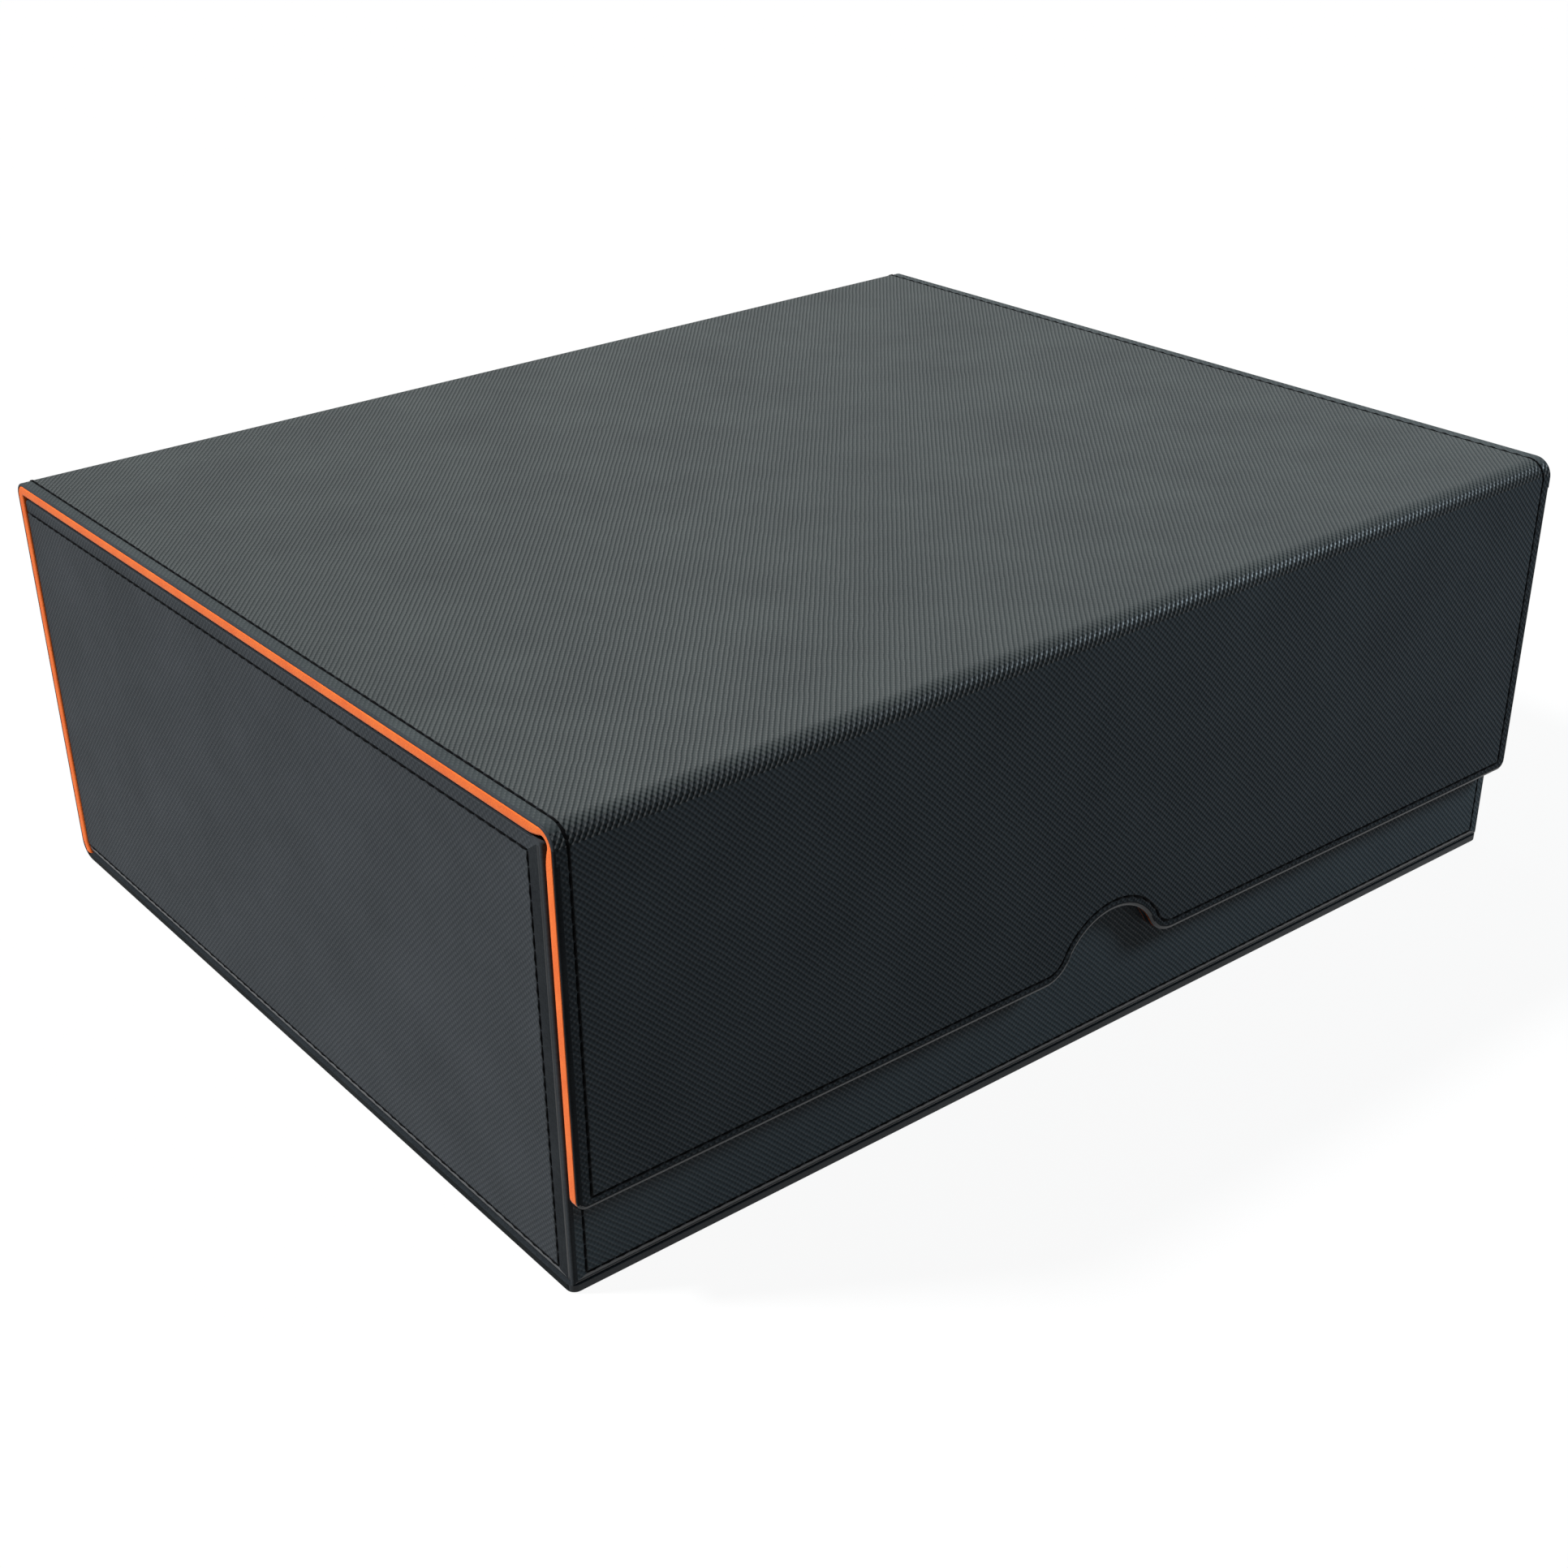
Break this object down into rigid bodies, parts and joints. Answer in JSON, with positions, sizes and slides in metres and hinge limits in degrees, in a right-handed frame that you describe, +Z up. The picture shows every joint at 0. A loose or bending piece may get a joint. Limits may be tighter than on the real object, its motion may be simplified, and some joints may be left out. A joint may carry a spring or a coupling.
{
  "type": "card storage box",
  "caption": "Flat oblong storage box for rows of cards, with a lift-up lid whose stitched, notched flap folds down over the front wall and holds by magnets.",
  "frame": {"origin": "middle of the underside, on the table, at the middle of the box's outer width and depth", "axes": "+Z up, +X to the right seen from the front, -Y out of the flap"},
  "size_m": [0.309, 0.255, 0.113],
  "materials": {
    "leather": "black imitation leather, embossed with fine diagonal ribs, satin",
    "lining": "orange napped microfibre",
    "divider_cloth": "black napped microfibre",
    "greyboard": "dense grey board, hidden",
    "magnet": "nickel plated, hidden",
    "keeper_steel": "zinc plated sheet, hidden"
  },
  "bodies": {
    "box": {"base_skin": "leather", "base_board": "greyboard", "back_skin": "leather", "back_lining": "lining", "back_board": "greyboard", "lid_fold_skin": "leather", "lid_fold_lining": "lining", "front_wall_skin": "leather", "front_wall_board": "greyboard", "keeper_plates": "keeper_steel", "front_wall_lining": "lining", "left_wall_skin": "leather", "left_wall_board": "greyboard", "left_wall_lining": "lining", "right_wall_skin": "leather", "right_wall_board": "greyboard", "right_wall_lining": "lining", "rear_wall_board": "greyboard", "rear_wall_lining": "lining", "floor_board": "greyboard", "floor_lining": "lining", "partition_sleeve_1": "lining", "partition_board_1": "greyboard", "partition_sleeve_2": "lining", "partition_board_2": "greyboard", "partition_sleeve_3": "lining", "partition_board_3": "greyboard"},
    "lid": {"top_skin": "leather", "top_lining": "lining", "top_board": "greyboard", "flap_fold_skin": "leather", "flap_fold_lining": "lining"},
    "flap": {"flap_skin": "leather", "flap_lining": "lining", "flap_board": "greyboard", "flap_magnets": "magnet"},
    "divider_1": {"divider_sleeve_1": "divider_cloth", "divider_board_1": "greyboard"},
    "divider_2": {"divider_sleeve_2": "divider_cloth", "divider_board_2": "greyboard"},
    "divider_3": {"divider_sleeve_3": "divider_cloth", "divider_board_3": "greyboard"},
    "divider_4": {"divider_sleeve_4": "divider_cloth", "divider_board_4": "greyboard"}
  },
  "joints": [
    {"name": "lid_hinge", "type": "hinge", "parent": "box", "child": "lid", "pos_m": [0, 0.12666, 0.11216], "axis": [-1, 0, 0], "range_deg": [0, 175], "deforming": ["lid_fold_skin", "lid_fold_lining"]},
    {"name": "flap_hinge", "type": "hinge", "parent": "lid", "child": "flap", "pos_m": [0, -0.12643, 0.11193], "axis": [-1, 0, 0], "range_deg": [0, 90], "deforming": ["flap_fold_skin", "flap_fold_lining"]},
    {"name": "divider_1_slide", "type": "slide", "parent": "box", "child": "divider_1", "axis": [0, 1, 0], "range_m": [-0.09874, 0.13716]},
    {"name": "divider_2_slide", "type": "slide", "parent": "box", "child": "divider_2", "axis": [0, 1, 0], "range_m": [-0.13716, 0.09874]},
    {"name": "divider_3_slide", "type": "slide", "parent": "box", "child": "divider_3", "axis": [0, 1, 0], "range_m": [-0.11795, 0.11795]},
    {"name": "divider_4_slide", "type": "slide", "parent": "box", "child": "divider_4", "axis": [0, 1, 0], "range_m": [-0.15637, 0.07953]}
  ]
}
